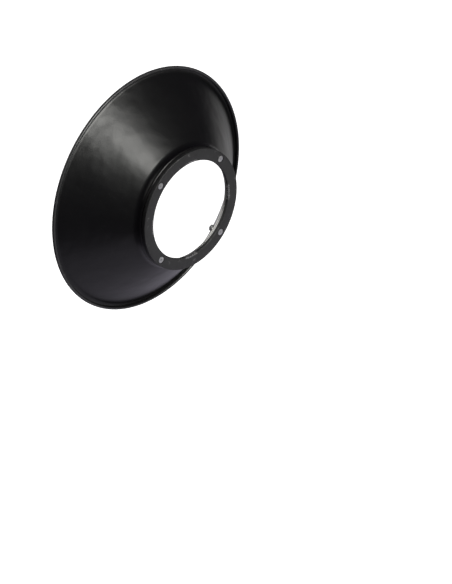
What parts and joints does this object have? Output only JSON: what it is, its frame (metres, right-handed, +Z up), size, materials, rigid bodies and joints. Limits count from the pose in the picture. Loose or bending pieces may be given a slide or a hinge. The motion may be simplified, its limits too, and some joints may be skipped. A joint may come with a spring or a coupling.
{
  "type": "studio light reflector dish",
  "caption": "Wide shallow reflector dish with an out-turned beaded rim and a bolted rear ring that a studio lamp's spring fingers grip.",
  "frame": {"origin": "on the dish's axis, in the plane of the mount ring's rear seat face", "axes": "+Y along the dish's axis towards the lamp, so the mouth faces -Y; +Z up"},
  "size_m": [0.2194, 0.0555, 0.2194],
  "materials": {
    "black_paint": "satin",
    "black_cast": "matte",
    "bright_steel": "satin",
    "zinc_plate": "satin"
  },
  "bodies": {
    "root": {"dish_shell": "black_paint", "mount_ring": "black_cast", "clamp_ring": "bright_steel", "ring_screw_1": "zinc_plate", "ring_screw_2": "zinc_plate", "ring_screw_3": "zinc_plate", "ring_screw_4": "zinc_plate", "flat_washer_1": "zinc_plate", "flat_washer_2": "zinc_plate", "flat_washer_3": "zinc_plate", "flat_washer_4": "zinc_plate", "spring_washer_1": "zinc_plate", "spring_washer_2": "zinc_plate", "spring_washer_3": "zinc_plate", "spring_washer_4": "zinc_plate", "hex_nut_1": "zinc_plate", "hex_nut_2": "zinc_plate", "hex_nut_3": "zinc_plate", "hex_nut_4": "zinc_plate"}
  },
  "joints": []
}
